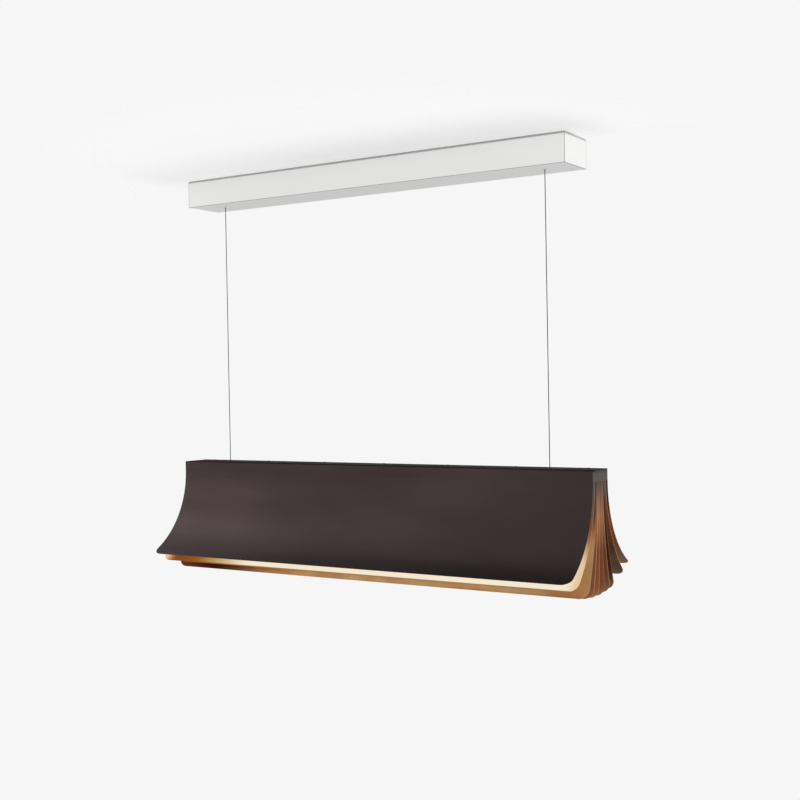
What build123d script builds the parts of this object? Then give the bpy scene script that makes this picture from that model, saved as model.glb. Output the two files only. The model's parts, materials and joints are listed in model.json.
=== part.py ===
from build123d import *
from math import cos, radians, sin, sqrt
import os

# Pendant lamp: a fan of ten curved aluminium leaves, hung on two wires from a long ceiling canopy.
# Millimetres. X runs along the lamp, Y from its front (-) to its back (+), Z up.
# The origin is the middle of the ceiling face of the mounting bracket.

# Lamp fan
lamp_length = 900.0
fan_width = 64.0  # over the two outer leaves, at the top
leaf_thickness = 1.0
leaf_depth = 217.0  # from the top of the lamp to the lower edge, along an outer leaf
leaf_straight = 20.0  # flat top part of a leaf, before its curve
leaf_corner = 18.0
tip_angles = (66.0, 51.0, 24.0, 16.0, 5.5)  # from the vertical at the lower edge, outermost leaf first

# Spine that clamps the leaves
plate_thickness = 8.0
leaf_flange = 14.5  # folded top of an outer leaf, inwards
flange_gap = 0.5
fold_radius = 1.0
end_cap_thickness = 2.0
key_width = 10.0
key_height = 4.0
key_count = 4
key_margin = 46.0  # from the middle of the last key to the end of the rail
seat_clearance = 0.05

# Light strips, one in each outer gap of the fan
board_inset = 50.0  # from each end of the lamp
board_side_gap = 0.2
board_thickness = 1.0
chip_length = 2.8
chip_width = 1.4
chip_height = 0.6
chip_pitch = 32.0
diffuser_side_gap = 0.3
diffuser_wall = 0.6
diffuser_height = 4.2
diffuser_overhang = 3.0  # past each end of its board
feed_strip_width = 2.0
feed_strip_thickness = 0.3
feed_groove_gap = 0.2
feed_groove_depth = 2.4  # into the inner face of each leg

# Suspension
drop = 516.0  # from the underside of the canopy to the top of the lamp
wire_inset = 93.0  # from each end of the lamp
wire_radius = 0.75
swivel_gap = 0.3

# Barrel at the lower end of each wire, and the rocker that holds it in the rail
barrel_radius = 1.3
barrel_length = 5.0
barrel_fit = 0.06
lower_pivot_depth = 5.0  # under the top of the lamp
seat_rocker_radius = 3.4
seat_rocker_length = 9.0
seat_rocker_foot = 1.8  # from its axis down to its flat
seat_slot_half_width = 1.6
lower_mouth_radius = 2.3

# Exit rockers, over the underside of the canopy
upper_pivot_height = 6.0  # over the underside of the canopy
exit_rocker_radius = 3.0
exit_rocker_length = 8.0
exit_slot_half_width = 1.5
exit_waist = 1.05  # half widths of the flared slot, front to back
exit_flare = 1.7
housing_length = 13.0
housing_width = 11.0
housing_rim = 2.0  # over the axis of the rocker
housing_mouth_length = 3.4
housing_mouth_width = 4.6
wire_hole_radius = 2.6

# Canopy
canopy_overhang = 58.0  # past each wire
canopy_width = 90.0
canopy_height = 52.0
cover_wall = 1.5
cover_edge_radius = 1.0
ceiling_gap = 0.5
cover_screw_inset = 60.0  # from each wire towards the middle
cover_screw_radius = 2.0
cover_screw_head_radius = 3.5
cover_screw_length = 14.0
standoff_across_flats = 8.0

# Mounting bracket
bracket_end_gap = 20.0
bracket_width = 64.0
bracket_sheet = 2.0
bracket_flange = 12.0
bracket_bend = 1.5
ceiling_slot_spacing = 470.0
ceiling_slot_length = 20.0
ceiling_slot_radius = 2.75
mains_hole_radius = 5.0
mains_hole_x = -268.0

# Wire grippers
gripper_across_flats = 13.0
gripper_length = 26.0
gripper_bore_radius = 1.1
gripper_bore_depth = 24.0
nipple_radius = 3.0
nipple_travel = 2.0
nipple_outside = 5.0  # under the gripper
nipple_inside = 5.0
nipple_fit = 0.06

# Spare wire and leads inside the canopy
tail_gap = 0.5  # over the axis of the exit rocker
lead_width = 2.2
lead_bend = 7.0
lead_straight = 24.0  # out of the driver, before the first bend
lead_run = 14.0  # straight run of a lead up to its gripper
output_lead_offset = 10.0

# LED driver and terminal block
driver_length = 320.0
driver_width = 42.0
driver_height = 24.0
driver_corner = 3.0
driver_ear_length = 14.0
driver_ear_thickness = 2.0
terminal_length = 22.0
terminal_width = 34.0
terminal_height = 16.0
terminal_pole_pitch = 10.0
terminal_entry = 3.2
terminal_slot_width = 4.0
terminal_slot_length = 2.4
terminal_slot_depth = 3.0
terminal_gap = 6.0  # between the driver's ear and the block

# Worked out from the sizes above
leaves_per_side = len(tip_angles)
leaf_pitch = (fan_width - leaf_thickness) / (2 * leaves_per_side - 1)
leaf_gap = leaf_pitch - leaf_thickness
lamp_top = -(canopy_height + drop)
spine_bottom = lamp_top - leaf_straight
stack_height = leaf_straight - plate_thickness
stack_middle = spine_bottom + stack_height / 2
spine_length = lamp_length - 2 * end_cap_thickness
spine_half_width = fan_width / 2 - leaf_thickness
strip_y = fan_width / 2 - leaf_thickness - leaf_gap / 2
diffuser_width = leaf_gap - 2 * diffuser_side_gap
diffuser_bore = diffuser_width - 2 * diffuser_wall
board_width = diffuser_bore - 2 * board_side_gap
land_half_width = fan_width / 2 - leaf_flange - flange_gap
board_length = lamp_length - 2 * board_inset
wire_x = lamp_length / 2 - wire_inset
canopy_length = 2 * (wire_x + canopy_overhang)
bracket_length = canopy_length - 2 * bracket_end_gap
lower_pivot_z = lamp_top - lower_pivot_depth
upper_pivot_z = -canopy_height + upper_pivot_height
bracket_underside = -bracket_sheet
gripper_bottom = bracket_underside - gripper_length
standoff_x = wire_x - cover_screw_inset

os.makedirs("parts", exist_ok=True)


def spread(count, length, margin):
    """Even places along X, the first and last a margin from the ends of a length."""
    step = (length - 2 * margin) / (count - 1)
    return [margin - length / 2 + step * number for number in range(count)]


key_places = [(x, stack_middle) for x in spread(key_count, spine_length, key_margin)]
window_width = key_width + 2 * seat_clearance
window_height = key_height + 2 * seat_clearance


# Leaves: each is a straight top, clamped in the spine, and an arc of the same length that ends at
# its own angle. Side is -1 for the front half of the fan and 1 for the back half.
def leaf_face_y(number):
    """Outer face of a leaf at the top, numbered from the outside of the fan."""
    return fan_width / 2 - leaf_pitch * (number - 1)


for side, side_name in ((-1, "front"), (1, "back")):
    for number, tip_angle in enumerate(tip_angles, start=1):
        face_y = leaf_face_y(number)
        tip = radians(tip_angle)
        curve_radius = (leaf_depth - leaf_straight) / tip
        outermost = number == 1
        top_z = lamp_top if outermost else lamp_top - plate_thickness

        def on_curve(radius, angle):
            """A point of the leaf's section, on an arc around the centre of its curve."""
            y = face_y + curve_radius - radius * cos(angle)
            return (side * y, spine_bottom - radius * sin(angle))

        concave, convex = curve_radius, curve_radius + leaf_thickness
        with BuildPart() as leaf:
            with BuildSketch(Plane.YZ.offset(-lamp_length / 2)):
                with BuildLine():
                    ThreePointArc(on_curve(concave, 0), on_curve(concave, tip / 2), on_curve(concave, tip))
                    Line(on_curve(concave, tip), on_curve(convex, tip))
                    ThreePointArc(on_curve(convex, tip), on_curve(convex, tip / 2), on_curve(convex, 0))
                    if outermost:
                        flange_end = side * (face_y - leaf_flange)
                        Polyline(
                            on_curve(convex, 0),
                            (side * (face_y - leaf_thickness), top_z - leaf_thickness),
                            (flange_end, top_z - leaf_thickness),
                            (flange_end, top_z),
                            (side * (face_y - fold_radius), top_z),
                        )
                        fold_middle = face_y - fold_radius * (1 - sqrt(0.5))
                        ThreePointArc(
                            (side * (face_y - fold_radius), top_z),
                            (side * fold_middle, top_z - fold_radius * (1 - sqrt(0.5))),
                            (side * face_y, top_z - fold_radius),
                        )
                        Line((side * face_y, top_z - fold_radius), on_curve(concave, 0))
                    else:
                        Polyline(
                            on_curve(convex, 0),
                            (side * (face_y - leaf_thickness), top_z),
                            (side * face_y, top_z),
                            on_curve(concave, 0),
                        )
                make_face()
            extrude(amount=lamp_length)
            short_edges = leaf.edges().filter_by(lambda edge: abs(edge.length - leaf_thickness) < 1e-4)
            fillet(short_edges.sort_by(Axis.Z)[:2], radius=leaf_corner)
            if not outermost:
                with BuildSketch(Plane.XZ):
                    with Locations(*key_places):
                        Rectangle(window_width, window_height)
                extrude(amount=fan_width / 2, both=True, mode=Mode.SUBTRACT)
                notch_height = stack_height + seat_clearance
                for end in (-1, 1):
                    with Locations((end * (spine_length + end_cap_thickness) / 2, 0, top_z)):
                        Box(
                            end_cap_thickness,
                            fan_width,
                            notch_height,
                            align=(Align.CENTER, Align.CENTER, Align.MAX),
                            mode=Mode.SUBTRACT,
                        )
        leaf.part.label = f"leaf_{side_name}_{number}"
        export_step(leaf.part, f"parts/leaf_{side_name}_{number}.step")


# Spine rail: a plate with a raised land, and two legs that close the outer gaps of the fan
plate_outline = [
    (-spine_half_width, lamp_top - plate_thickness),
    (-spine_half_width, lamp_top - leaf_thickness),
    (-land_half_width, lamp_top - leaf_thickness),
    (-land_half_width, lamp_top),
    (land_half_width, lamp_top),
    (land_half_width, lamp_top - leaf_thickness),
    (spine_half_width, lamp_top - leaf_thickness),
    (spine_half_width, lamp_top - plate_thickness),
]
leg_outer_y = spine_half_width
leg_inner_y = spine_half_width - leaf_gap
feed_groove_width = feed_strip_width + 2 * feed_groove_gap

with BuildPart() as spine_rail:
    with BuildSketch(Plane.YZ.offset(-spine_length / 2)):
        with BuildLine():
            Polyline(*plate_outline, close=True)
        make_face()
        with Locations((-strip_y, stack_middle), (strip_y, stack_middle)):
            Rectangle(leaf_gap, stack_height)
    extrude(amount=spine_length)
    # Windows for the keys in both legs
    with BuildSketch(Plane.XZ):
        with Locations(*key_places):
            Rectangle(window_width, window_height)
    extrude(amount=fan_width / 2, both=True, mode=Mode.SUBTRACT)
    for end in (-1, 1):
        # Half-round pocket for the rocker, open below, and a small mouth for the wire above it
        pocket_radius = seat_rocker_radius + swivel_gap
        pocket_length = seat_rocker_length + 2 * swivel_gap
        with BuildSketch(Plane.YZ.offset(end * wire_x - pocket_length / 2)):
            with Locations((0, lower_pivot_z)):
                Circle(pocket_radius)
                Rectangle(2 * pocket_radius, plate_thickness, align=(Align.CENTER, Align.MAX))
        extrude(amount=pocket_length, mode=Mode.SUBTRACT)
        with BuildSketch(Plane.XY.offset(lower_pivot_z)):
            with Locations((end * wire_x, 0)):
                Circle(lower_mouth_radius)
        extrude(amount=lower_pivot_depth, mode=Mode.SUBTRACT)
        # Groove for the feed strip, under the plate and down the inner face of each leg
        with BuildSketch(Plane.YZ.offset(end * wire_x - feed_groove_width / 2)):
            with Locations((0, lamp_top - plate_thickness)):
                Rectangle(
                    2 * (leg_inner_y + feed_groove_depth),
                    feed_strip_thickness + feed_groove_gap,
                    align=(Align.CENTER, Align.MIN),
                )
            with Locations((-leg_inner_y, stack_middle), (leg_inner_y, stack_middle)):
                Rectangle(2 * feed_groove_depth, stack_height)
        extrude(amount=feed_groove_width, mode=Mode.SUBTRACT)
spine_rail.part.label = "spine_rail"
export_step(spine_rail.part, "parts/spine_rail.step")

# Spacer bars between the inner leaves, numbered from front to back
spacer_count = 2 * leaves_per_side - 3
middle_spacer = (spacer_count + 1) // 2
for number in range(1, spacer_count + 1):
    spacer_y = leaf_pitch * (number - middle_spacer)
    with BuildPart() as spacer:
        with BuildSketch(Plane.YZ.offset(-spine_length / 2)):
            with Locations((spacer_y, stack_middle)):
                Rectangle(leaf_gap, stack_height)
        extrude(amount=spine_length)
        with BuildSketch(Plane.XZ):
            with Locations(*key_places):
                Rectangle(window_width, window_height)
        extrude(amount=fan_width / 2, both=True, mode=Mode.SUBTRACT)
    spacer.part.label = f"spacer_bar_{number}"
    export_step(spacer.part, f"parts/spacer_bar_{number}.step")

# Keys through the stack: the inner leaves hang on them, and the outer leaves keep them in
with BuildPart() as hanger_keys:
    with BuildSketch(Plane.XZ):
        with Locations(*key_places):
            Rectangle(key_width, key_height)
    extrude(amount=leg_outer_y, both=True)
hanger_keys.part.label = "hanger_keys"
export_step(hanger_keys.part, "parts/hanger_keys.step")

# End caps over the ends of the rail and the spacer bars
for end, end_name in ((-1, "left"), (1, "right")):
    with BuildPart() as end_cap:
        with BuildSketch(Plane.YZ.offset(end * spine_length / 2)):
            with BuildLine():
                Polyline(*plate_outline, close=True)
            make_face()
            with Locations((0, stack_middle)):
                Rectangle(2 * spine_half_width, stack_height)
        extrude(amount=end * end_cap_thickness)
    end_cap.part.label = f"end_cap_{end_name}"
    export_step(end_cap.part, f"parts/end_cap_{end_name}.step")

# Feed strips: flat conductors from the rail's underside at each wire down to both boards
for end, end_name in ((-1, "left"), (1, "right")):
    with BuildPart() as feed_strip:
        strip_top = lamp_top - plate_thickness + feed_strip_thickness
        strip_outer_y = leg_inner_y + feed_groove_depth - feed_groove_gap
        with BuildSketch(Plane.YZ.offset(end * wire_x - feed_strip_width / 2)):
            with Locations((0, strip_top)):
                Rectangle(2 * strip_outer_y, feed_strip_thickness, align=(Align.CENTER, Align.MAX))
            for side in (-1, 1):
                with Locations((side * (strip_outer_y - feed_strip_thickness / 2), strip_top)):
                    Rectangle(
                        feed_strip_thickness, strip_top - spine_bottom, align=(Align.CENTER, Align.MAX)
                    )
        extrude(amount=feed_strip_width)
    feed_strip.part.label = f"feed_strip_{end_name}"
    export_step(feed_strip.part, f"parts/feed_strip_{end_name}.step")

# Light strips under the two legs of the rail, with a channel-shaped diffuser over each
chip_count = int(board_length / chip_pitch)
for side, side_name in ((-1, "front"), (1, "back")):
    with BuildPart() as led_board:
        with BuildSketch(Plane.XY.offset(spine_bottom)):
            with Locations((0, side * strip_y)):
                Rectangle(board_length, board_width)
        extrude(amount=-board_thickness)
        with BuildSketch(Plane.XY.offset(spine_bottom - board_thickness)):
            with Locations((0, side * strip_y)):
                with GridLocations(chip_pitch, 0, chip_count, 1):
                    Rectangle(chip_length, chip_width)
        extrude(amount=-chip_height)
    led_board.part.label = f"led_board_{side_name}"
    export_step(led_board.part, f"parts/led_board_{side_name}.step")

    with BuildPart() as diffuser:
        with BuildSketch(Plane.YZ.offset(-board_length / 2 - diffuser_overhang)):
            with Locations((side * strip_y, spine_bottom)):
                Rectangle(diffuser_width, diffuser_height, align=(Align.CENTER, Align.MAX))
                Rectangle(
                    diffuser_bore,
                    diffuser_height - diffuser_wall,
                    align=(Align.CENTER, Align.MAX),
                    mode=Mode.SUBTRACT,
                )
        extrude(amount=board_length + 2 * diffuser_overhang)
        lower_edges = diffuser.edges().filter_by(Axis.X).group_by(Axis.Z)[0]
        fillet(lower_edges, radius=diffuser_wall / 2)
    diffuser.part.label = f"diffuser_{side_name}"
    export_step(diffuser.part, f"parts/diffuser_{side_name}.step")

# Suspension: each wire ends in a barrel that turns in a rocker, and the rocker turns in the rail
wire_lower_end = lower_pivot_z + barrel_radius + swivel_gap
for end, end_name in ((-1, "left"), (1, "right")):
    with BuildPart() as suspension_wire:
        with BuildSketch(Plane.XY.offset(wire_lower_end)):
            with Locations((end * wire_x, 0)):
                Circle(wire_radius)
        extrude(amount=upper_pivot_z - wire_lower_end)
    suspension_wire.part.label = f"suspension_wire_{end_name}"
    export_step(suspension_wire.part, f"parts/suspension_wire_{end_name}.step")

    with BuildPart() as barrel_end:
        with BuildSketch(Plane.XZ.offset(-barrel_length / 2)):
            with Locations((end * wire_x, lower_pivot_z)):
                Circle(barrel_radius)
        extrude(amount=barrel_length)
    barrel_end.part.label = f"barrel_end_{end_name}"
    export_step(barrel_end.part, f"parts/barrel_end_{end_name}.step")

with BuildPart() as seat_rockers:
    for end in (-1, 1):
        with BuildSketch(Plane.YZ.offset(end * wire_x - seat_rocker_length / 2)):
            with Locations((0, lower_pivot_z)):
                Circle(seat_rocker_radius)
                with Locations((0, -seat_rocker_foot)):
                    Rectangle(
                        2 * seat_rocker_radius,
                        seat_rocker_radius,
                        align=(Align.CENTER, Align.MAX),
                        mode=Mode.SUBTRACT,
                    )
        extrude(amount=seat_rocker_length)
        # Bore for the barrel and slot for the wire, both open to the front
        with BuildSketch(Plane.XZ.offset(-barrel_length / 2 - swivel_gap)):
            with Locations((end * wire_x, lower_pivot_z)):
                Circle(barrel_radius + barrel_fit)
        extrude(amount=fan_width / 2, mode=Mode.SUBTRACT)
        with Locations((end * wire_x, wire_radius + swivel_gap, lower_pivot_z)):
            Box(
                2 * seat_slot_half_width,
                fan_width / 2,
                seat_rocker_radius,
                align=(Align.CENTER, Align.MAX, Align.MIN),
                mode=Mode.SUBTRACT,
            )
seat_rockers.part.label = "seat_rockers"
export_step(seat_rockers.part, "parts/seat_rockers.step")

# Exit rockers: the wires swing about their axis, and sway in their slots, which flare both ways
with BuildPart() as exit_rockers:
    for end in (-1, 1):
        with BuildSketch(Plane.YZ.offset(end * wire_x - exit_rocker_length / 2)):
            with Locations((0, upper_pivot_z)):
                Circle(exit_rocker_radius)
        extrude(amount=exit_rocker_length)
        with BuildSketch(Plane.YZ.offset(end * wire_x - exit_slot_half_width)):
            with BuildLine():
                Polyline(
                    (-exit_flare, upper_pivot_z - exit_rocker_radius),
                    (exit_flare, upper_pivot_z - exit_rocker_radius),
                    (exit_waist, upper_pivot_z),
                    (exit_flare, upper_pivot_z + exit_rocker_radius),
                    (-exit_flare, upper_pivot_z + exit_rocker_radius),
                    (-exit_waist, upper_pivot_z),
                    close=True,
                )
            make_face()
        extrude(amount=2 * exit_slot_half_width, mode=Mode.SUBTRACT)
exit_rockers.part.label = "exit_rockers"
export_step(exit_rockers.part, "parts/exit_rockers.step")

# Housings of the exit rockers: blocks with a half-round trough, bonded inside the cover
housing_floor = -canopy_height + cover_wall
with BuildPart() as rocker_housings:
    for end in (-1, 1):
        with Locations((end * wire_x, 0, housing_floor)):
            Box(
                housing_length,
                housing_width,
                upper_pivot_z + housing_rim - housing_floor,
                align=(Align.CENTER, Align.CENTER, Align.MIN),
            )
        trough_radius = exit_rocker_radius + swivel_gap
        trough_length = exit_rocker_length + 2 * swivel_gap
        with BuildSketch(Plane.YZ.offset(end * wire_x - trough_length / 2)):
            with Locations((0, upper_pivot_z)):
                Circle(trough_radius)
                Rectangle(2 * trough_radius, 2 * housing_rim, align=(Align.CENTER, Align.MIN))
        extrude(amount=trough_length, mode=Mode.SUBTRACT)
        with Locations((end * wire_x, 0, housing_floor)):
            Box(
                housing_mouth_length,
                housing_mouth_width,
                upper_pivot_height,
                align=(Align.CENTER, Align.CENTER, Align.MIN),
                mode=Mode.SUBTRACT,
            )
rocker_housings.part.label = "rocker_housings"
export_step(rocker_housings.part, "parts/rocker_housings.step")

# Canopy cover: a folded sheet box, open to the ceiling, with holes for the wires and its screws
cover_height = canopy_height - ceiling_gap
cover_screw_places = [(-standoff_x, 0), (standoff_x, 0)]
with BuildPart() as canopy_cover:
    with Locations((0, 0, -canopy_height)):
        Box(canopy_length, canopy_width, cover_height, align=(Align.CENTER, Align.CENTER, Align.MIN))
    fillet(canopy_cover.edges().group_by(Axis.Z)[0], radius=cover_edge_radius)
    with Locations((0, 0, -canopy_height + cover_wall)):
        Box(
            canopy_length - 2 * cover_wall,
            canopy_width - 2 * cover_wall,
            cover_height,
            align=(Align.CENTER, Align.CENTER, Align.MIN),
            mode=Mode.SUBTRACT,
        )
    with BuildSketch(Plane.XY.offset(-canopy_height)):
        with Locations((-wire_x, 0), (wire_x, 0)):
            Circle(wire_hole_radius)
        with Locations(*cover_screw_places):
            Circle(cover_screw_radius + seat_clearance)
    extrude(amount=cover_wall, mode=Mode.SUBTRACT)
    with BuildSketch(Plane.XY.offset(-canopy_height)):
        with Locations(*cover_screw_places):
            Circle(cover_screw_head_radius + seat_clearance)
    extrude(amount=cover_screw_head_radius - cover_screw_radius, taper=45, mode=Mode.SUBTRACT)
canopy_cover.part.label = "canopy_cover"
export_step(canopy_cover.part, "parts/canopy_cover.step")

with BuildPart() as cover_screws:
    with BuildSketch(Plane.XY.offset(-canopy_height)):
        with Locations(*cover_screw_places):
            Circle(cover_screw_radius)
    extrude(amount=cover_screw_length)
    with BuildSketch(Plane.XY.offset(-canopy_height)):
        with Locations(*cover_screw_places):
            Circle(cover_screw_head_radius)
    extrude(amount=cover_screw_head_radius - cover_screw_radius, taper=45)
cover_screws.part.label = "cover_screws"
export_step(cover_screws.part, "parts/cover_screws.step")

with BuildPart() as cover_standoffs:
    with BuildSketch(Plane.XY.offset(-canopy_height + cover_wall)):
        with Locations(*cover_screw_places):
            RegularPolygon(standoff_across_flats / 2, 6, major_radius=False)
    extrude(amount=canopy_height - cover_wall - bracket_sheet)
    with BuildSketch(Plane.XY.offset(-canopy_height + cover_wall)):
        with Locations(*cover_screw_places):
            Circle(cover_screw_radius + seat_clearance)
    extrude(amount=cover_screw_length, mode=Mode.SUBTRACT)
cover_standoffs.part.label = "cover_standoffs"
export_step(cover_standoffs.part, "parts/cover_standoffs.step")

# Mounting bracket: a channel of folded sheet with its web against the ceiling
with BuildPart() as mounting_bracket:
    with BuildSketch(Plane.YZ.offset(-bracket_length / 2)):
        Rectangle(bracket_width, bracket_flange, align=(Align.CENTER, Align.MAX))
        with Locations((0, -bracket_sheet)):
            Rectangle(
                bracket_width - 2 * bracket_sheet,
                bracket_flange,
                align=(Align.CENTER, Align.MAX),
                mode=Mode.SUBTRACT,
            )
    extrude(amount=bracket_length)
    top_edges = mounting_bracket.edges().filter_by(Axis.X).group_by(Axis.Z)[-1]
    fillet(top_edges, radius=bracket_bend)
    with BuildSketch(Plane.XY):
        with Locations((-ceiling_slot_spacing / 2, 0), (ceiling_slot_spacing / 2, 0)):
            SlotOverall(ceiling_slot_length, 2 * ceiling_slot_radius)
        with Locations((mains_hole_x, 0)):
            Circle(mains_hole_radius)
    extrude(amount=-bracket_sheet, mode=Mode.SUBTRACT)
mounting_bracket.part.label = "mounting_bracket"
export_step(mounting_bracket.part, "parts/mounting_bracket.step")

# Wire grippers under the bracket, with a sprung nipple below that frees the wire
for end, end_name in ((-1, "left"), (1, "right")):
    with BuildPart() as gripper_body:
        with BuildSketch(Plane.XY.offset(gripper_bottom)):
            with Locations((end * wire_x, 0)):
                RegularPolygon(gripper_across_flats / 2, 6, major_radius=False, rotation=30)
        extrude(amount=gripper_length)
        with BuildSketch(Plane.XY.offset(gripper_bottom)):
            with Locations((end * wire_x, 0)):
                Circle(gripper_bore_radius)
        extrude(amount=gripper_bore_depth, mode=Mode.SUBTRACT)
        with BuildSketch(Plane.XY.offset(gripper_bottom)):
            with Locations((end * wire_x, 0)):
                Circle(nipple_radius + nipple_fit)
        extrude(amount=nipple_inside + nipple_travel + swivel_gap, mode=Mode.SUBTRACT)
    gripper_body.part.label = f"gripper_body_{end_name}"
    export_step(gripper_body.part, f"parts/gripper_body_{end_name}.step")

    with BuildPart() as release_nipple:
        with BuildSketch(Plane.XY.offset(gripper_bottom - nipple_outside)):
            with Locations((end * wire_x, 0)):
                Circle(nipple_radius)
                Circle(gripper_bore_radius, mode=Mode.SUBTRACT)
        extrude(amount=nipple_outside + nipple_inside)
    release_nipple.part.label = f"release_nipple_{end_name}"
    export_step(release_nipple.part, f"parts/release_nipple_{end_name}.step")

    # Spare wire: from the exit rocker up through the nipple into the gripper
    tail_bottom = upper_pivot_z + tail_gap
    with BuildPart() as wire_tail:
        with BuildSketch(Plane.XY.offset(tail_bottom)):
            with Locations((end * wire_x, 0)):
                Circle(wire_radius)
        extrude(amount=gripper_bottom + gripper_bore_depth - tail_bottom)
    wire_tail.part.label = f"wire_tail_{end_name}"
    export_step(wire_tail.part, f"parts/wire_tail_{end_name}.step")

# LED driver, held under the bracket by an ear at each end
driver_middle_z = bracket_underside - driver_height / 2
with BuildPart() as led_driver:
    with BuildSketch(Plane.YZ.offset(-driver_length / 2)):
        with Locations((0, driver_middle_z)):
            RectangleRounded(driver_width, driver_height, driver_corner)
    extrude(amount=driver_length)
    with BuildSketch(Plane.XY.offset(bracket_underside)):
        Rectangle(driver_length + 2 * driver_ear_length, driver_width / 2)
    extrude(amount=-driver_ear_thickness)
led_driver.part.label = "led_driver"
export_step(led_driver.part, "parts/led_driver.step")

# Mains terminal block: a square entry for each pole, and a release slot for it below
terminal_x = -(driver_length / 2 + driver_ear_length + terminal_gap + terminal_length / 2)
terminal_bore_z = bracket_underside - terminal_height / 2
with BuildPart() as terminal_block:
    with Locations((terminal_x, 0, bracket_underside)):
        Box(
            terminal_length, terminal_width, terminal_height, align=(Align.CENTER, Align.CENTER, Align.MAX)
        )
    with BuildSketch(Plane.YZ.offset(terminal_x - terminal_length / 2)):
        with Locations((0, terminal_bore_z)):
            with GridLocations(terminal_pole_pitch, 0, 3, 1):
                Rectangle(terminal_entry, terminal_entry)
    extrude(amount=terminal_length, mode=Mode.SUBTRACT)
    with BuildSketch(Plane.XY.offset(bracket_underside - terminal_height)):
        with Locations((terminal_x, 0)):
            with GridLocations(0, terminal_pole_pitch, 1, 3):
                Rectangle(terminal_slot_length, terminal_slot_width)
    extrude(amount=terminal_slot_depth, mode=Mode.SUBTRACT)
terminal_block.part.label = "terminal_block"
export_step(terminal_block.part, "parts/terminal_block.step")

# Mains leads from the terminal block to the driver's end
with BuildPart() as mains_leads:
    with BuildSketch(Plane.YZ.offset(terminal_x)):
        with Locations((0, terminal_bore_z)):
            with GridLocations(terminal_pole_pitch, 0, 3, 1):
                Rectangle(lead_width, lead_width)
    extrude(amount=-driver_length / 2 - terminal_x)
mains_leads.part.label = "mains_leads"
export_step(mains_leads.part, "parts/mains_leads.step")

# Low-voltage leads from the driver's right end, one along its front side to the left gripper and one
# to the right gripper
lead_y = (driver_width + bracket_width - 2 * bracket_sheet) / 4
gripper_face_x = wire_x - gripper_across_flats / 2
lead_turn_x = gripper_face_x - lead_run
lead_start_x = driver_length / 2
for end, end_name in ((-1, "left"), (1, "right")):
    with BuildPart() as output_lead:
        with BuildLine():
            lead_route = FilletPolyline(
                (lead_start_x, end * output_lead_offset, driver_middle_z),
                (lead_start_x + lead_straight, end * output_lead_offset, driver_middle_z),
                (lead_start_x + lead_straight, end * lead_y, driver_middle_z),
                (end * (lead_turn_x - lead_y), end * lead_y, driver_middle_z),
                (end * lead_turn_x, 0, driver_middle_z),
                (end * gripper_face_x, 0, driver_middle_z),
                radius=lead_bend,
            )
        with BuildSketch(Plane(origin=lead_route @ 0, z_dir=lead_route % 0)):
            Rectangle(lead_width, lead_width)
        sweep()
    output_lead.part.label = f"output_lead_{end_name}"
    export_step(output_lead.part, f"parts/output_lead_{end_name}.step")
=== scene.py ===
import json
from math import cos, pi, radians, sin

import bmesh
import bpy
from mathutils import Matrix, Vector


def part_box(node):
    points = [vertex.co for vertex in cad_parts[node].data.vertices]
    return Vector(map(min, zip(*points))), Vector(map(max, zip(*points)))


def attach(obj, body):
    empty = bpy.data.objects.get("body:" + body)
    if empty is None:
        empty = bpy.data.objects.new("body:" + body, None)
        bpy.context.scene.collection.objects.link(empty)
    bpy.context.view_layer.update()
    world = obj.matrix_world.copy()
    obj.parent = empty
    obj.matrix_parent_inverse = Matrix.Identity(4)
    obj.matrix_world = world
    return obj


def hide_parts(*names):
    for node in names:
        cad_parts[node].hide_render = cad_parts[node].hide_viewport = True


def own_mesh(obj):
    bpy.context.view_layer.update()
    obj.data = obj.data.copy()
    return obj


# A dressed pendant lamp: a finish for every CAD piece, stranded wires, leads, screws and lit gaps.
# Metres. X runs along the lamp, Y from its front (-) to its back (+), Z up. The ceiling is at Z = 0.

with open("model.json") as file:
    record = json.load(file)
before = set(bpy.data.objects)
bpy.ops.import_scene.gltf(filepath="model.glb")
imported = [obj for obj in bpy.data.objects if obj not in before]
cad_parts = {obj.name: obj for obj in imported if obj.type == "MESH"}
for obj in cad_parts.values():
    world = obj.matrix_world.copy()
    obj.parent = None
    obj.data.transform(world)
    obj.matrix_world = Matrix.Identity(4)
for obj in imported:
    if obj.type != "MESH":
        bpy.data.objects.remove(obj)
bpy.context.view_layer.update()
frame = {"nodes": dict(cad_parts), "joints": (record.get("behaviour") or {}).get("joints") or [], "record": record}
nodes = frame["nodes"]
scene = bpy.context.scene

# Camera, fitted to the photograph of 800 by 800 pixels
photo_size = 800
focal_pixels = 1220
sensor_width = 36  # millimetres
camera_place = Vector((1.259, -1.924, -0.418))
camera_turn = radians(32.066)
camera_pitch = radians(-0.732)
camera_roll = radians(-1.049)


class Box:
    """Box round a CAD piece at rest, to a tenth of a micrometre."""

    def __init__(self, node):
        low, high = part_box(node)
        self.left, self.front, self.bottom = [round(number, 7) for number in low]
        self.right, self.back, self.top = [round(number, 7) for number in high]


# What the CAD says: boxes of its pieces, its joints and its mounts
canopy_box = Box("canopy_cover")
driver_box = Box("led_driver")
mains_leads_box = Box("mains_leads")
output_lead_box = Box("output_lead_right")
wire_box = Box("suspension_wire_right")
tail_box = Box("wire_tail_right")
rail_box = Box("spine_rail")
leaf_box = Box("leaf_front_1")
board_box = Box("led_board_front")
joints = {joint["name"]: joint for joint in frame["joints"]}
mains_entry = next(mount for mount in frame["record"]["mounts"] if mount["name"] == "mains_entry")

# Sizes of the two wires
wire_x, _, upper_pivot_z = joints["sway_right"]["pos_m"]
wire_radius = wire_box.right - wire_x

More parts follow.
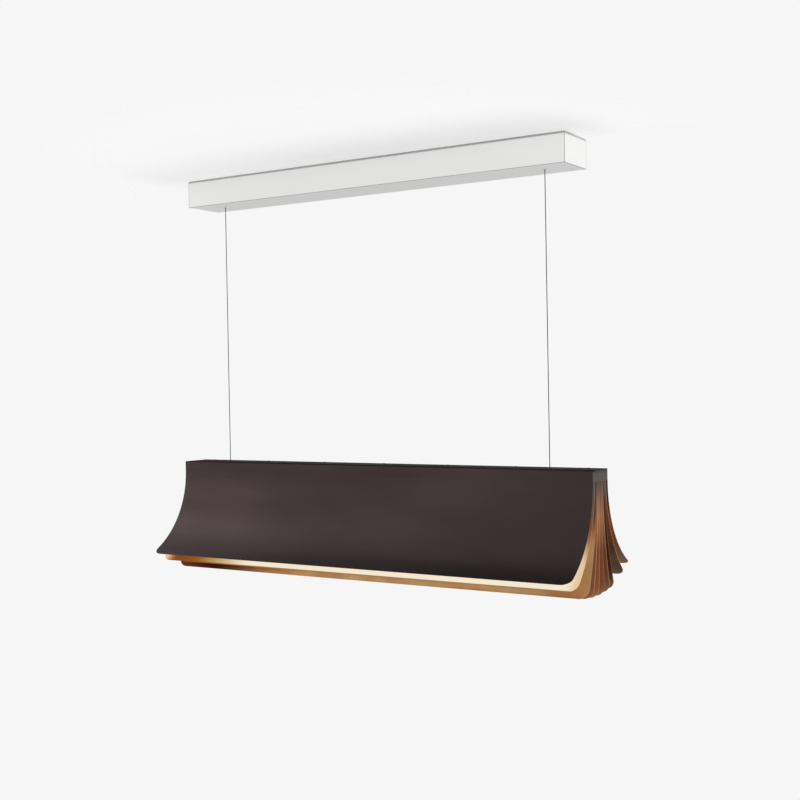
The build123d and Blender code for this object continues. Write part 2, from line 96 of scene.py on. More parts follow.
# Sizes of the lamp. Its five pairs of leaves are counted from the outermost one
plate_thickness = 0.008
board_thickness = 0.001
chip_pitch = 0.032
leaf_thickness = 0.001
leaf_pitch = 0.007
leaf_arc_length = 0.197
tip_angles = (66.0, 51.0, 24.0, 16.0, 5.5)  # degrees from the vertical
leaf_flange = 0.0145
fan_half_width = rail_box.back + leaf_thickness

# Sizes of what the canopy holds
mains_hole_x = mains_entry["pos_m"][0]
mains_hole_radius = mains_entry["dims"]["r_mm"] / 1000
bracket_thickness = mains_entry["dims"]["length_mm"] / 1000
driver_ear_length = 0.014
driver_ear_thickness = 0.002
driver_end_x = driver_box.right - driver_ear_length
lead_radius = (mains_leads_box.top - mains_leads_box.bottom) / 2
mains_lead_z = mains_leads_box.top - lead_radius
mains_lead_pitch = mains_leads_box.back - lead_radius
output_lead_z = output_lead_box.top - lead_radius


def linear(code):
    """A colour from its six-figure code, as amounts of light."""
    parts = [int(code[place:place + 2], 16) / 255 for place in (0, 2, 4)]
    light = [part / 12.92 if part < 0.0405 else ((part + 0.055) / 1.055) ** 2.4 for part in parts]
    return (*light, 1.0)


black = linear("000000")
lamp_top_black = linear("231f1e")
backdrop_white = linear("f6f6f6")


class Field:
    """A number that varies over a surface. Python's operators on it add Math nodes."""

    def __init__(self, maker, socket):
        self.maker = maker
        self.socket = socket

    def math(self, operation, first, *others):
        numbers = dict(enumerate((first, *others)))
        node = self.maker.node("ShaderNodeMath", {"operation": operation}, numbers)
        return Field(self.maker, node.outputs["Value"])

    def __add__(self, other):
        return self.math("ADD", self, other)

    def __radd__(self, other):
        return self.math("ADD", other, self)

    def __sub__(self, other):
        return self.math("SUBTRACT", self, other)

    def __rsub__(self, other):
        return self.math("SUBTRACT", other, self)

    def __mul__(self, other):
        return self.math("MULTIPLY", self, other)

    def __rmul__(self, other):
        return self.math("MULTIPLY", other, self)

    def __pow__(self, other):
        return self.math("POWER", self, other)

    def size(self):
        return self.math("ABSOLUTE", self)

    def sign(self):
        return self.math("SIGN", self)

    def cosine(self):
        return self.math("COSINE", self)

    def angle(self, across):
        """Angle of a point that lies this far up and that far across."""
        return self.math("ARCTAN2", self, across)

    def below(self, limit):
        return self.math("MINIMUM", self, limit)

    def above(self, limit):
        return self.math("MAXIMUM", self, limit)

    def rise(self, low, high):
        """0 up to low, 1 from high, and a smooth change between them."""
        node = self.maker.node(
            "ShaderNodeMapRange",
            {"interpolation_type": "SMOOTHSTEP"},
            {"Value": self, "From Min": low, "From Max": high},
        )
        return Field(self.maker, node.outputs["Result"])


class NodeMaker:
    """Adds nodes to one node tree."""

    def __init__(self, tree):
        self.tree = tree

    def node(self, kind, settings=None, inputs=None):
        """A node of this kind, with its settings made first and then its sockets set or linked."""
        node = self.tree.nodes.new(kind)
        for name, value in (settings or {}).items():
            if name == "stops":
                elements = node.color_ramp.elements
                while len(elements) < len(value):
                    elements.new(1.0)
                for element, (position, colour) in zip(elements, value):
                    element.position = position
                    element.color = colour
            else:
                setattr(node, name, value)
        for name, value in (inputs or {}).items():
            self.feed(node.inputs[name], value)
        return node

    def feed(self, socket, value):
        if isinstance(value, Field):
            value = value.socket
        if isinstance(value, bpy.types.NodeSocket):
            self.tree.links.new(value, socket)
        else:
            socket.default_value = value


class Finish(NodeMaker):
    """One material. Its constants are set on the shader, and what varies is fed to it by nodes."""

    def __init__(self, name, **constants):
        self.material = bpy.data.materials.new(name)
        self.material.use_nodes = True
        super().__init__(self.material.node_tree)
        self.shader = self.tree.nodes["Principled BSDF"]
        for socket, value in constants.items():
            self.set(socket.replace("_", " "), value)
        self.place = self.node("ShaderNodeTexCoord").outputs["Object"]

    def set(self, socket, value):
        self.feed(self.shader.inputs[socket], value)

    def axis(self, name):
        split = self.node("ShaderNodeSeparateXYZ", inputs={"Vector": self.place})
        return Field(self, split.outputs[name])

    def noise(self, scale, detail=2.0, stretch=(1, 1, 1)):
        mapped = self.node("ShaderNodeMapping", inputs={"Vector": self.place, "Scale": stretch})
        cloud = self.node(
            "ShaderNodeTexNoise",
            inputs={"Vector": mapped.outputs["Vector"], "Scale": scale, "Detail": detail},
        )
        return Field(self, cloud.outputs["Fac"])

    def mix(self, share, low, high):
        """Two colours mixed. A Mix node's colours are its sockets 6 and 7, and the result is its
        output 2."""
        inputs = {0: share, 6: low, 7: high}
        return self.node("ShaderNodeMix", {"data_type": "RGBA"}, inputs).outputs[2]

    def ramp(self, factor, *stops):
        """A colour that goes through these stops as the factor goes from 0 to 1."""
        colours = [(position, linear(code)) for position, code in stops]
        return self.node("ShaderNodeValToRGB", {"stops": colours}, {"Fac": factor}).outputs["Color"]

    def bump(self, height, strength, distance):
        inputs = {"Height": height, "Strength": strength, "Distance": distance}
        self.set("Normal", self.node("ShaderNodeBump", inputs=inputs).outputs["Normal"])

    def on_lamp_top(self):
        """1 on the flat top of the lamp and 0 under it."""
        return self.axis("Z").rise(rail_box.top - 0.0012, rail_box.top - 0.0008)


# Finishes of all but the leaves
def canopy_paint():
    """White paint that was baked on: a fine orange peel, a grey line along every fold that is wear and
    painted shade, and a band of painted shade along the top rim, by the ceiling."""
    finish = Finish("canopy_powder_coat", Specular_IOR_Level=0.35)
    z = finish.axis("Z")
    to_end = canopy_box.right - finish.axis("X").size()
    to_side = canopy_box.back - finish.axis("Y").size()
    to_rim = (z - canopy_box.bottom).below(canopy_box.top - z)
    to_fold = to_end.below(to_side).above(to_end.above(to_side).below(to_rim))
    # A grey line along every fold: wear, and painted shade where the faces meet
    rubbed = (1 - to_fold.rise(0.0005, 0.0011)) * (0.62 + 0.3 * finish.noise(40, 3))
    # Painted shade of the gap at the ceiling, in a band along the top rim
    ceiling_gap_shade = 0.6 * z.rise(-0.0042, -0.0022)
    wear_and_painted_light = rubbed.above(ceiling_gap_shade)
    paint = finish.mix(finish.noise(9, 3), linear("ececeb"), linear("f2f2f1"))
    finish.set("Base Color", finish.mix(wear_and_painted_light, paint, linear("6e6e6e")))
    peel = finish.noise(1400, 2)
    finish.set("Roughness", 0.42 + 0.10 * peel + 0.15 * wear_and_painted_light)
    finish.bump(peel, 0.12, 0.0002)
    return finish


def turned_metal(name, light, shade, roughness, grain=(60, 60, 1500)):
    """Bare or plated metal with fine machining lines."""
    finish = Finish(name, Metallic=1.0)
    lines = finish.noise(1.0, 3, grain)
    finish.set("Base Color", finish.mix(lines, linear(shade), linear(light)))
    finish.set("Roughness", roughness + 0.14 * finish.noise(120, 3))
    finish.bump(lines, 0.10, 0.0001)
    return finish


def dark_wire(name):
    """Dark oxide on drawn steel, a little bare where the strands rub."""
    finish = Finish(name, Metallic=0.3, Specular_IOR_Level=0.15)
    rubbed = finish.noise(1.0, 3, (900, 900, 120)).rise(0.45, 0.75)
    finish.set("Base Color", finish.mix(0.5 * rubbed, linear("191919"), linear("5a5a57")))
    finish.set("Roughness", 0.60 - 0.15 * rubbed)
    finish.bump(rubbed, 0.10, 0.00005)
    return finish


def moulded_plastic(name, light, shade, roughness):
    """Moulded plastic, or the paint of a screw, with a fine even texture."""
    finish = Finish(name, Specular_IOR_Level=0.45)
    texture = finish.noise(2600, 2)
    finish.set("Base Color", finish.mix(finish.noise(60, 2), linear(shade), linear(light)))
    finish.set("Roughness", roughness + 0.12 * texture)
    finish.bump(texture, 0.10, 0.0001)
    return finish


def strip_board(name):
    """White solder resist, with the yellow phosphor of the chips that stand under it."""
    finish = Finish(name, Specular_IOR_Level=0.45)
    board_underside = board_box.top - board_thickness
    chips = 1 - finish.axis("Z").rise(board_underside - 0.00008, board_underside - 0.00004)
    resist = finish.mix(finish.noise(80, 2), linear("e9e9e4"), linear("f3f3ef"))
    finish.set("Base Color", finish.mix(chips, resist, linear("e9c46a")))
    finish.set("Roughness", 0.32 + 0.10 * finish.noise(2600, 2))
    finish.bump(finish.noise(900, 2), 0.08, 0.0001)
    return finish


def opal_glow(name):
    """Opal cover of a light strip: warm and bright, a little brighter over each chip."""
    finish = Finish(name, Base_Color=linear("f4efe4"), Emission_Strength=3.0)
    over_chips = 0.5 + 0.5 * (finish.axis("X") * (2 * pi / chip_pitch)).cosine()
    finish.set("Emission Color", finish.mix(over_chips, linear("ffdfae"), linear("ffe9c6")))
    finish.set("Roughness", 0.45 + 0.10 * finish.noise(300, 2))
    return finish


def spine_lacquer(name):
    """Grey-brown lacquer over brushed metal, darker up the plate and nearly black on the lamp's top."""
    finish = Finish(name, Specular_IOR_Level=0.1)
    top = finish.on_lamp_top()
    up_plate = finish.axis("Z").rise(rail_box.top - plate_thickness, rail_box.top)
    brushed = finish.noise(1.0, 3, (1200, 40, 1200))
    sides = finish.mix(brushed, linear("3f3a36"), linear("57504b"))
    sides = finish.mix(up_plate, sides, linear("2e2d2b"))
    finish.set("Base Color", finish.mix(top, sides, lamp_top_black))
    finish.set("Metallic", 0.35 * (1 - top))
    finish.set("Roughness", 0.50 + 0.12 * brushed + 0.3 * top)
    finish.bump(brushed, 0.06, 0.0001)
    return finish


# Colours of the five pairs of leaves: the shade and the light of the streaks on the outer face, the
# same on the inner face, and the edge, with wear and a painted highlight
leaf_coats = (
    (("3a3030", "433838"), ("2a1a16", "36241d"), "57483f"),
    (("ad8664", "c8a07a"), ("2e2018", "4e382a"), "b08a68"),
    (("9a6c4a", "c09068"), ("5a3e2d", "80604a"), "7a563a"),
    (("94684a", "c8966e"), ("5a3e2d", "7c5a44"), "d8ae88"),
    (("8a5f44", "c08c64"), ("6a4a36", "8c6850"), "9a7250"),
)
broad_streaks = (3, 8, 8)
fine_streaks = (14, 60, 6)


class LeafFinish(Finish):
    """Satin metal of one pair of leaves, with fields that say where a point of them lies. The outer
    face of a leaf is the concave one, on an arc about a centre outside the fan."""

    def __init__(self, number, streaks):
        super().__init__(f"leaf_satin_{number}", Specular_IOR_Level=0.0, Emission_Strength=1.0)
        tip = radians(tip_angles[number - 1])
        radius = leaf_arc_length / tip
        centre_y = fan_half_width - leaf_pitch * (number - 1) + radius
        x, y = self.axis("X"), self.axis("Y")
        self.depth = (rail_box.bottom - self.axis("Z")).above(0)
        out = centre_y - y.size()
        from_centre = (self.depth * self.depth + out * out) ** 0.5
        self.inner = from_centre.rise(radius + 0.2 * leaf_thickness, radius + 0.8 * leaf_thickness)
        self.outer = 1 - self.inner
        self.along = x * y.sign() * -1  # to the right, as seen from outside this half of the fan
        self.to_tip = (tip - self.depth.angle(out)) * radius
        self.to_end = leaf_box.right - x.size()

        self.grain = self.noise(1.0, 3, (6, 900, 900))
        self.cloud = self.noise(14, 3, (1, 3, 3))
        self.streak = self.noise(1.0, 3, streaks).rise(0.30, 0.70)
        outer_tones, inner_tones, self.edge = leaf_coats[number - 1]
        self.coat = self.mix(self.inner, self.streaked(*outer_tones), self.streaked(*inner_tones))
        self.bump(self.grain, 0.05, 0.0001)

    def streaked(self, shade, light):
        return self.mix(self.streak, linear(shade), linear(light))

    def lay(self, share, colour):
        """One more colour over the coat."""
        self.coat = self.mix(share, self.coat, colour)

    def shade_left_end(self, code):
        """Painted shade: a deeper colour on the left end of the outer face."""
        self.lay((1 - self.along.rise(-0.36, -0.22)) * self.outer, linear(code))

    def set_colour(self):
        """The coat as the leaf's colour, with wear and a painted highlight at its two ends and along its tip."""
        # Wear and a painted highlight on the edges, below the top
        wear_and_painted_light = 1 - self.to_end.rise(0.0001, 0.0009).below(self.to_tip.rise(0.0001, 0.0006))
        self.lay(0.45 * wear_and_painted_light * self.depth.rise(0.0, 0.04), linear(self.edge))
        self.set("Base Color", self.coat)

    def set_bare_metal(self, bloom_depth):
        """Bare metal with a grey bloom from the spine down to this depth."""
        bloom = (1 - self.depth.rise(0.004, bloom_depth)) * (0.85 + 0.15 * self.streak)
        self.lay(bloom, self.streaked("56514c", "8a827a"))
        self.set_colour()
        self.set("Metallic", 1.0 - 0.45 * bloom)
        self.set("Roughness", 0.34 + 0.12 * self.grain + 0.06 * self.cloud)


def outermost_leaf():
    """Dark brown, with painted shade towards the tip, nearly black on the flange, and painted light
    on its inner face.
    """
    leaf = LeafFinish(1, broad_streaks)
    top = leaf.on_lamp_top()
    # Painted shade on the outer face near the tip, deeper to the right
    painted_shade_near_tip = (1 - leaf.to_tip.rise(0.006, 0.062)) * (0.30 + 0.70 * leaf.along.rise(-0.30, 0.30))
    leaf.lay(0.62 * painted_shade_near_tip * leaf.outer, linear("151110"))
    leaf.lay(top, lamp_top_black)
    leaf.set_colour()
    leaf.set("Metallic", 0.75 * (1 - top))
    leaf.set("Roughness", 0.42 + 0.10 * leaf.grain + 0.05 * leaf.cloud + 0.3 * top)
    # Painted light of the strip on the inner face
    lit = leaf.inner * leaf.depth.rise(0.0, 0.16)
    painted_light = leaf.ramp(lit, (0.0, "000000"), (0.15, "2a1a14"), (0.4, "6a3a26"), (1.0, "523a1f"))
    leaf.set("Emission Color", painted_light)
    return leaf


def second_leaf():
    """Pale bronze. Its outer face has the painted light of a strip and a painted highlight at its left
    tip, and its inner face is in shade, with a dim painted light.
    """
    leaf = LeafFinish(2, fine_streaks)
    leaf.shade_left_end("9c5e2e")
    # Painted highlight at the left tip of the outer face
    left_tip_highlight = (1 - leaf.along.rise(-0.440, -0.430)) * leaf.depth.rise(0.12, 0.16) * leaf.outer
    leaf.lay(left_tip_highlight, linear("9a8766"))
    leaf.set_bare_metal(bloom_depth=0.078)

    # Painted light of the strip on the outer face, with a painted shade line along the tip edge
    past_strip = (leaf.along - board_box.right).above(0)
    reached = (leaf.depth - 1.95 * past_strip).rise(-0.055, 0.05)  # lower down past the strip's end
    started = leaf.along.rise(-0.50, -0.22)
    tip_edge_shade = 1 - leaf.to_tip.rise(0.0004, 0.0026)
    right_end = leaf.along.rise(0.425, 0.450)
    lit = reached * started * (1 - 0.55 * tip_edge_shade) * (1 - 0.15 * right_end)
    on_left = leaf.ramp(
        lit,
        (0.0, "000000"),
        (0.24, "6a3a08"),
        (0.5, "8b5617"),
        (0.7, "ae8e5d"),
        (0.88, "cbb98f"),
        (1.0, "eae5cf"),
    )
    on_right = leaf.ramp(
        lit,
        (0.0, "3a3531"),
        (0.24, "44342a"),
        (0.5, "7d5836"),
        (0.7, "b6946a"),
        (0.88, "dac8a2"),
        (1.0, "eae5cf"),
    )
    painted_light = leaf.mix(leaf.along.rise(0.2, 0.4), on_left, on_right)
    painted_light = leaf.mix(left_tip_highlight, painted_light, linear("51452f"))
    # Dim painted light on the inner face, which is in shade
    in_shade = leaf.mix(leaf.depth.rise(0.07, 0.15), linear("573020"), linear("2c2114"))
    leaf.set("Emission Color", leaf.mix(leaf.inner, painted_light, in_shade))
    return leaf


def third_leaf():
    """Copper brown, with painted shade on its left end. Its outer face has painted light for the light
    that comes past the second leaf to its lower part.
    """
    leaf = LeafFinish(3, fine_streaks)
    leaf.shade_left_end("4a1f0a")
    leaf.set_bare_metal(bloom_depth=0.046)
    # Painted light on the lower outer face, weaker along the tip and at the lower right
    lit = leaf.outer * leaf.along.rise(-0.32, -0.10) * (0.75 + 0.25 * leaf.streak)
    lit = lit * leaf.depth.rise(0.05, 0.12) * (0.7 + 0.3 * leaf.to_tip.rise(0.0005, 0.005))
    lower_right = leaf.depth.rise(0.12, 0.19) * leaf.along.rise(0.30, 0.42)
    lit = lit * (1 - 0.35 * lower_right)
    leaf.set("Emission Color", leaf.ramp(lit, (0.0, "1e0f07"), (0.6, "8c6038"), (1.0, "978059")))
    return leaf


def deep_leaf(number):
    """Copper brown of the two innermost pairs, with painted shade on their left end. Painted light
    stands for the light from other leaves, the only light that reaches them.
    """
    leaf = LeafFinish(number, fine_streaks)
    leaf.shade_left_end("4a1f0a")
    leaf.set_bare_metal(bloom_depth=0.046)
    # Painted light from the other leaves, changing with depth
    down = leaf.depth * 5  # 1 at 200 mm under the spine
    painted_light = leaf.ramp(down, (0.0, "38322e"), (0.12, "5a463a"), (0.3, "825a40"), (0.6, "54321e"))
    leaf.set("Emission Color", painted_light)
    return leaf


leaf_finishes = [outermost_leaf(), second_leaf(), third_leaf(), deep_leaf(4), deep_leaf(5)]
finishes = {
    "canopy_white": canopy_paint(),
    "screw_white": moulded_plastic("screw_powder_coat", "e6e6e3", "dcdcd9", 0.40),
    "zinc_steel": turned_metal("zinc_plate", "b9bab6", "9c9d9a", 0.34, (300, 300, 300)),
    "nickel_brass": turned_metal("nickel_plate", "cdc8bd", "b3aea4", 0.22),
    "wire_steel": dark_wire("wire_steel"),
    "socket_white": moulded_plastic("housing_nylon", "e9e9e6", "dfdfdb", 0.42),
    "bead_plastic": moulded_plastic("rocker_acetal", "efefec", "e4e4e0", 0.28),
    "driver_white": moulded_plastic("driver_case", "e8e8e4", "dededa", 0.40),
    "terminal_white": moulded_plastic("terminal_nylon", "efeee8", "e2e0d8", 0.38),
    "lead_plastic": moulded_plastic("lead_sheath", "e4e4e2", "d6d6d3", 0.45),
    "spine_bronze": spine_lacquer("spine_lacquer"),
    "feed_copper": turned_metal("feed_copper", "c98a63", "a8683f", 0.28, (900, 60, 60)),
    "board_white": strip_board("strip_board"),
    "diffuser_opal": opal_glow("diffuser_opal"),
}


def finish_of(name, slot):
    if name.startswith("leaf_"):
        return leaf_finishes[int(name[-1]) - 1]
    return finishes[slot]


for subpart in frame["record"]["subparts"]:
    slots = nodes[subpart["node"]].data.materials
    for place in range(len(slots)):
        slots[place] = finish_of(subpart["node"], subpart["material_slot"]).material


# Pieces made here
def linked(name, data):
    """An object for this data, in the scene."""
    item = bpy.data.objects.new(name, data)
    scene.collection.objects.link(item)
    return item


def shaped(name, mesh, finish):
    """An object for a mesh that is already in its place."""
    data = bpy.data.meshes.new(name)
    mesh.to_mesh(data)
    mesh.free()
    data.materials.append(finish.material)
    return linked(name, data)


def piece(name, mesh, body, slot):
    """A piece of the lamp with the finish of its slot, on the body that it moves with."""
    item = shaped(name, mesh, finishes[slot])
    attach(item, body)
    return item


strand_radius = wire_radius / 3
strand_sides = 6
strand_lay = 0.009  # rise of a strand in one turn
strand_steps = 12  # in one turn
outer_strands = 6


def stranded_wire(x, foot_z, top_z):
    """Round strands laid round a straight one."""
    mesh = bmesh.new()
    foot = Vector((x, 0, foot_z))
    height = top_z - foot_z
    turns = height / strand_lay
    steps = round(turns * strand_steps)
    ring = bmesh.ops.create_circle(mesh, segments=strand_sides, radius=strand_radius)["verts"]
    bmesh.ops.translate(mesh, verts=ring, vec=foot + Vector((2 * strand_radius, 0, 0)))
    bmesh.ops.spin(
        mesh,
        geom=ring + mesh.edges[:],
        cent=foot,
        axis=(0, 0, 1),
        dvec=(0, 0, height / steps),
        angle=2 * pi * turns,
        steps=steps,
    )
    strand = mesh.verts[:] + mesh.edges[:] + mesh.faces[:]
    for number in range(1, outer_strands):
        copy = bmesh.ops.duplicate(mesh, geom=strand)["geom"]
        copied = [item for item in copy if isinstance(item, bmesh.types.BMVert)]
        turn = Matrix.Rotation(number * 2 * pi / outer_strands, 3, "Z")
        bmesh.ops.rotate(mesh, verts=copied, cent=foot, matrix=turn)
    core = bmesh.ops.create_cone(
        mesh, segments=strand_sides, radius1=strand_radius, radius2=strand_radius, depth=height
    )
    bmesh.ops.translate(mesh, verts=core["verts"], vec=foot + Vector((0, 0, height / 2)))
    open_edges = [edge for edge in mesh.edges if edge.is_boundary]
    bmesh.ops.holes_fill(mesh, edges=open_edges, sides=strand_sides)
    bmesh.ops.recalc_face_normals(mesh, faces=mesh.faces)
    for face in mesh.faces:
        face.smooth = len(face.verts) == 4
    return mesh


# The two wires shorten as the lamp is raised, and their spare ends stay in the canopy
for side, side_name, joint in ((-1, "left", "height"), (1, "right", "height_right")):
    x = side * wire_x
    strands = stranded_wire(x, wire_box.bottom, upper_pivot_z)
    wire = piece(f"wire_strands_{side_name}", strands, f"wire_{side_name}", "wire_steel")
    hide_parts(f"suspension_wire_{side_name}")
    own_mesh(wire)
    spare = stranded_wire(x, tail_box.bottom, tail_box.top)
    tail = piece(f"spare_strands_{side_name}", spare, "canopy", "wire_steel")
    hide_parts(f"wire_tail_{side_name}")


# Rings of a screw head, from its foot over its top to the floor of its hexagonal socket: corners, and
# shares of the head's radius and height
head_rings = ((24, 1, 0), (24, 1, 0.5), (24, 0.82, 1), (6, 0.45, 1), (6, 0.45, 0.3))


def screw_head(mesh, stand, radius, height):
    """A low round head. Stand puts its foot in place and turns its top outwards."""
    rings = []
    for corners, width, rise in head_rings:
        level = stand @ Matrix.Translation((0, 0, rise * height))
        ring = bmesh.ops.create_circle(mesh, segments=corners, radius=width * radius, matrix=level)
        edges = [edge for corner in ring["verts"] for edge in corner.link_edges]
        rings.append(list(dict.fromkeys(edges)))  # each edge once
    for lower, upper in zip(rings, rings[1:]):
        bmesh.ops.bridge_loops(mesh, edges=lower + upper)
    for rim in (rings[0], rings[-1]):
        bmesh.ops.contextual_create(mesh, geom=rim)


def screw_heads(name, stands, radius, height, body, slot):
    """One piece that holds the heads of several equal screws."""
    mesh = bmesh.new()
    for stand in stands:
        screw_head(mesh, stand, radius, height)
    bmesh.ops.recalc_face_normals(mesh, faces=mesh.faces)
    piece(name, mesh, body, slot)


flange_screw_radius = 0.0021
flange_screw_height = 0.0007
flange_screw_count = 7  # along each outer leaf
flange_screw_reach = 0.418  # from the middle of the lamp to the last one
flange_screw_step = 2 * flange_screw_reach / (flange_screw_count - 1)
flange_screw_row = [
    number * flange_screw_step - flange_screw_reach for number in range(flange_screw_count)
]
flange_screw_y = fan_half_width - leaf_flange / 2
flange_stands = [
    Matrix.Translation((x, side * flange_screw_y, rail_box.top))
    for side in (-1, 1)
    for x in flange_screw_row
]
screw_heads(
    "flange_screws", flange_stands, flange_screw_radius, flange_screw_height, "lamp", "spine_bronze"
)

cap_screw_radius = 0.0015
cap_screw_height = 0.0002
cap_screw_y = 0.016
cap_screw_z = rail_box.top - plate_thickness / 2
cap_stands = [
    Matrix.Translation((end * leaf_box.right, y, cap_screw_z)) @ Matrix.Rotation(end * pi / 2, 4, "Y")
    for end in (-1, 1)
    for y in (-cap_screw_y, cap_screw_y)
]
screw_heads("cap_screws", cap_stands, cap_screw_radius, cap_screw_height, "lamp", "spine_bronze")

driver_screw_radius = 0.0030
driver_screw_height = 0.0018
driver_screw_x = driver_box.right - driver_ear_length / 2
driver_screw_z = driver_box.top - driver_ear_thickness
ear_stands = [
    Matrix.Translation((x, 0, driver_screw_z)) @ Matrix.Rotation(pi, 4, "X")
    for x in (-driver_screw_x, driver_screw_x)
]
screw_heads(
    "driver_screws", ear_stands, driver_screw_radius, driver_screw_height, "canopy", "zinc_steel"
)

# Section of the ring in the mains hole: how far out from the hole's edge, and how far under the bracket
ring_section = ((0.0001, 0), (0.0026, 0), (0.0026, 0.0008), (0.0018, 0.0016), (0.0006, 0.0016))


def edge_ring():
    """Ring that guards the mains cable against the edge of its hole, turned from its section."""
    mesh = bmesh.new()
    section = [
        mesh.verts.new((mains_hole_x + mains_hole_radius + reach, 0, -bracket_thickness - fall))
        for reach, fall in ring_section
    ]
    outline = [mesh.edges.new(pair) for pair in zip(section, section[1:] + section[:1])]
    bmesh.ops.spin(
        mesh,
        geom=section + outline,
        cent=(mains_hole_x, 0, 0),
        axis=(0, 0, 1),
        angle=2 * pi,
        steps=36,
        use_merge=True,
    )
    bmesh.ops.recalc_face_normals(mesh, faces=mesh.faces)
    piece("mains_edge_ring", mesh, "canopy", "socket_white")


edge_ring()


def lead(name, routes, node):
    """Round sheathed leads, each on one smooth line through its route."""
    curve = bpy.data.curves.new(name, "CURVE")
    curve.dimensions = "3D"
    curve.bevel_depth = lead_radius
    curve.bevel_resolution = 2
    curve.use_fill_caps = True
    for route in routes:
        line = curve.splines.new("NURBS")
        line.points.add(len(route) - 1)
        for point, place in zip(line.points, route):
            point.co = (*place, 1)
        line.order_u = 3
        line.use_endpoint_u = True
    curve.materials.append(finishes["lead_plastic"].material)
    item = linked(name, curve)
    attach(item, "canopy")
    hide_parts(node)


mains_routes = [
    [
        (mains_leads_box.left, y, mains_lead_z),
        (-0.176, y, mains_lead_z - 0.001),
        (-driver_end_x, y, mains_lead_z),
    ]
    for y in (-mains_lead_pitch, 0, mains_lead_pitch)
]
lead("mains_lead_sheaths", mains_routes, "mains_leads")

# Both output leads leave the right end of the driver, and the left one runs back along it
out_of_driver = [(driver_end_x, 0.010), (0.184, 0.010), (0.184, 0.0255)]
along_driver = [(0.1685, 0.0255), (-0.275, 0.0255)]
into_gripper = [(0.311, 0.0255), (0.3365, 0), (0.3505, 0)]
right_route = [(x, y, output_lead_z) for x, y in out_of_driver + into_gripper]
left_route = [
    (x, -y, output_lead_z) for x, y in out_of_driver + along_driver + [(-x, y) for x, y in into_gripper]
]
lead("output_sheath_right", [right_route], "output_lead_right")
lead("output_sheath_left", [left_route], "output_lead_left")

# A hook's section has a leg down from the bracket, a foot under the lead and a low lip
hook_length = 0.006
hook_rounding = 0.0002
hook_places = ((-0.22, -1), (-0.06, -1), (0.10, -1), (0.245, 1))  # X, and the side of the bracket
hook_outline = (
    (0.0290, -bracket_thickness),
    (0.0290, -0.0168),
    (0.0228, -0.0168),
    (0.0228, -0.0142),
    (0.0238, -0.0142),
    (0.0238, -0.0152),
    (0.0270, -0.0152),
    (0.0270, -bracket_thickness),
)


def lead_clips():
    """Hooks under the bracket that carry the long runs of the two output leads."""
    mesh = bmesh.new()
    for x, side in hook_places:
        corners = [mesh.verts.new((x, side * y, z)) for y, z in hook_outline]
        face = mesh.faces.new(corners)
        block = bmesh.ops.extrude_face_region(mesh, geom=[face])["geom"]
        moved = [item for item in block if isinstance(item, bmesh.types.BMVert)]
        bmesh.ops.translate(mesh, verts=moved, vec=(hook_length, 0, 0))
    bmesh.ops.recalc_face_normals(mesh, faces=mesh.faces)
    bmesh.ops.bevel(
        mesh,
        geom=mesh.edges[:],
        offset=hook_rounding,
        segments=2,
        profile=0.5,
        affect="EDGES",
        material=-1,
    )
    piece("lead_clips", mesh, "canopy", "socket_white")


lead_clips()

# Floor and ceiling. Each is a round pale disc that can be seen from one side only
floor_z = -2.4
floor_radius = 3.0
ceiling_z = 0.0005
ceiling_radius = 0.75
ceiling_lift = (0.34, 0.34, 0.34, 1)  # brings the ceiling up to the backdrop for the camera alone
# The soft shade next to the canopy is painted
shaded_lift = (0.17, 0.17, 0.17, 1)  # the same in the soft shade next to the canopy
shade_width = 0.26
end_shade_ratio = 2.2  # how many times narrower the shade is past the canopy's ends


def faded(finish, radius):
    """1 on the back of a disc and at its rim, and 0 on its face near the middle."""
    x, y = finish.axis("X"), finish.axis("Y")
    rim = ((x * x + y * y) ** 0.5).rise(0.45 * radius, 0.97 * radius)
    back = Field(finish, finish.node("ShaderNodeNewGeometry").outputs["Backfacing"])
    return back.above(rim)


def stage_disc(name, finish, hidden, z, radius, faces_up):
    """A disc that is clear where hidden is 1."""
    clear = finish.node("ShaderNodeBsdfTransparent")
    blend = finish.node(
        "ShaderNodeMixShader",
        inputs={0: hidden, 1: finish.shader.outputs["BSDF"], 2: clear.outputs["BSDF"]},
    )
    output = finish.tree.nodes["Material Output"]
    finish.feed(output.inputs["Surface"], blend.outputs["Shader"])
    mesh = bmesh.new()
    bmesh.ops.create_circle(mesh, cap_ends=True, segments=64, radius=radius)
    bmesh.ops.translate(mesh, verts=mesh.verts, vec=(0, 0, z))
    if not faces_up:
        bmesh.ops.reverse_faces(mesh, faces=mesh.faces)
    item = shaped(name, mesh, finish)


def studio_floor():
    """Floor that keeps the lamp's shadow."""
    finish = Finish("studio_floor", Base_Color=backdrop_white, Roughness=0.9, Specular_IOR_Level=0.0)
    stage_disc("studio_floor", finish, faded(finish, floor_radius), floor_z, floor_radius, True)


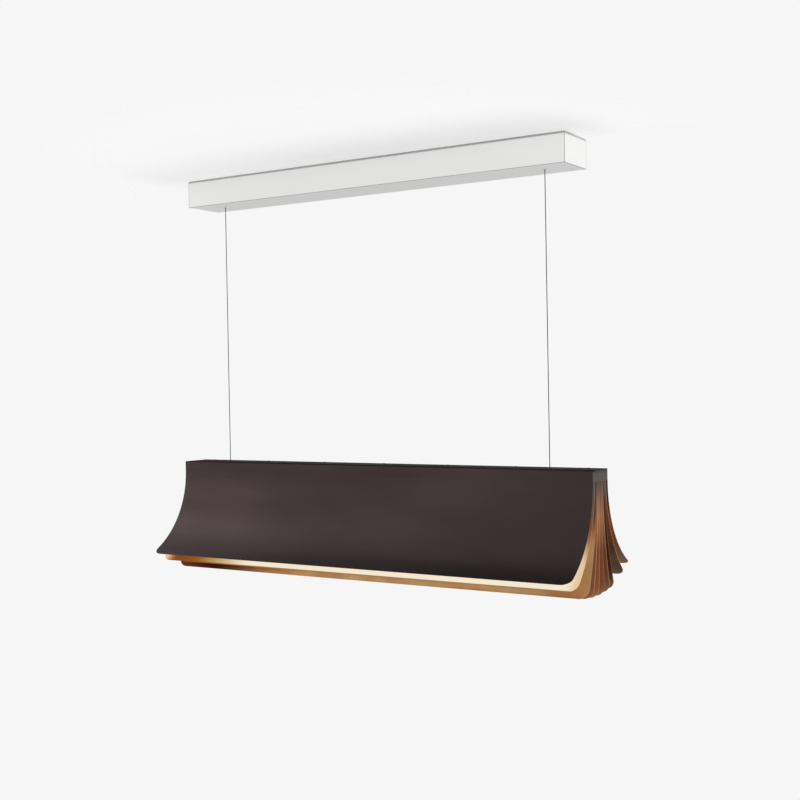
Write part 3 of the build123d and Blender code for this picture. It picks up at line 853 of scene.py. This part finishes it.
def studio_ceiling():
    """Ceiling that gives way to the backdrop behind the canopy. What is left of it is as bright as the
    backdrop, with a soft painted shade round the canopy."""
    finish = Finish(
        "studio_ceiling",
        Base_Color=backdrop_white,
        Roughness=0.9,
        Specular_IOR_Level=0.0,
        Emission_Strength=1.0,
    )
    x, y = finish.axis("X"), finish.axis("Y")
    # Painted shade round the canopy, narrower past its ends and weaker to the left
    beyond_end = end_shade_ratio * (x.size() - canopy_box.right).above(0)
    before = (canopy_box.front - y).above(0)
    away = ((beyond_end * beyond_end + before * before) ** 0.5).rise(0.0, shade_width)
    shade = (1 - away) * (0.6 + 0.4 * x.rise(-0.4, 0.1))
    lift = finish.mix(shade, ceiling_lift, shaded_lift)
    to_camera = finish.node("ShaderNodeLightPath").outputs["Is Camera Ray"]
    finish.set("Emission Color", finish.mix(to_camera, black, lift))
    behind_canopy = y.rise(canopy_box.front + 0.005, canopy_box.back - 0.005)
    hidden = faded(finish, ceiling_radius).above(behind_canopy)
    stage_disc("studio_ceiling", finish, hidden, ceiling_z, ceiling_radius, False)


studio_floor()
studio_ceiling()


# Lights, world and camera
def softbox(name, place, target, size, power):
    light = bpy.data.lights.new(name, "AREA")
    light.shape = "RECTANGLE"
    light.size, light.size_y = size
    light.energy = power
    item = linked(name, light)
    item.location = place
    item.rotation_euler = (Vector(target) - Vector(place)).to_track_quat("-Z", "Y").to_euler()


between_canopy_and_lamp = (0, 0, -0.2)
softbox("key_light", (2.2, -2.6, -0.10), between_canopy_and_lamp, (1.6, 0.4), 24)
softbox("side_light", (2.8, 0.6, -0.05), between_canopy_and_lamp, (1.2, 0.4), 14)
softbox("fill_light", (-2.6, -2.2, -0.10), between_canopy_and_lamp, (1.8, 0.4), 17)
softbox("back_light", (2.0, 2.6, -0.15), (0, 0, -0.3), (2.0, 0.5), 8)
softbox("sheen_light", (-2.1, -0.6, 0.9), (-0.35, -0.08, -0.7), (0.7, 0.8), 11)

# The camera, metal and clear plastic see the white backdrop. All else is lit by a plain grey
world = bpy.data.worlds.new("pale_studio")
world.use_nodes = True
scene.world = world
sky = NodeMaker(world.node_tree)
room_grey = world.node_tree.nodes["Background"]
room_grey.inputs["Color"].default_value = (0.62, 0.62, 0.62, 1)
backdrop = sky.node("ShaderNodeBackground", inputs={"Color": backdrop_white})
rays = sky.node("ShaderNodeLightPath")
seen = Field(sky, rays.outputs["Is Camera Ray"])
for ray in ("Is Glossy Ray", "Is Transmission Ray"):
    seen = seen.above(Field(sky, rays.outputs[ray]))
shaders = {0: seen, 1: room_grey.outputs["Background"], 2: backdrop.outputs["Background"]}
pick = sky.node("ShaderNodeMixShader", inputs=shaders)
sky.feed(world.node_tree.nodes["World Output"].inputs["Surface"], pick.outputs["Shader"])

camera = bpy.data.cameras.new("photo_camera")
camera.sensor_width = sensor_width
camera.lens = sensor_width * focal_pixels / photo_size
camera.clip_start = 0.01
forward = Vector(
    (-sin(camera_turn) * cos(camera_pitch), cos(camera_turn) * cos(camera_pitch), sin(camera_pitch))
)
level_right = Vector((cos(camera_turn), sin(camera_turn), 0))
level_up = level_right.cross(forward)
right = level_right * cos(camera_roll) + level_up * sin(camera_roll)
up = level_up * cos(camera_roll) - level_right * sin(camera_roll)
turn = Matrix((right, up, -forward)).transposed()
eye = linked("photo_camera", camera)
eye.matrix_world = Matrix.Translation(camera_place) @ turn.to_4x4()
scene.camera = eye

scene.view_settings.view_transform = "Standard"
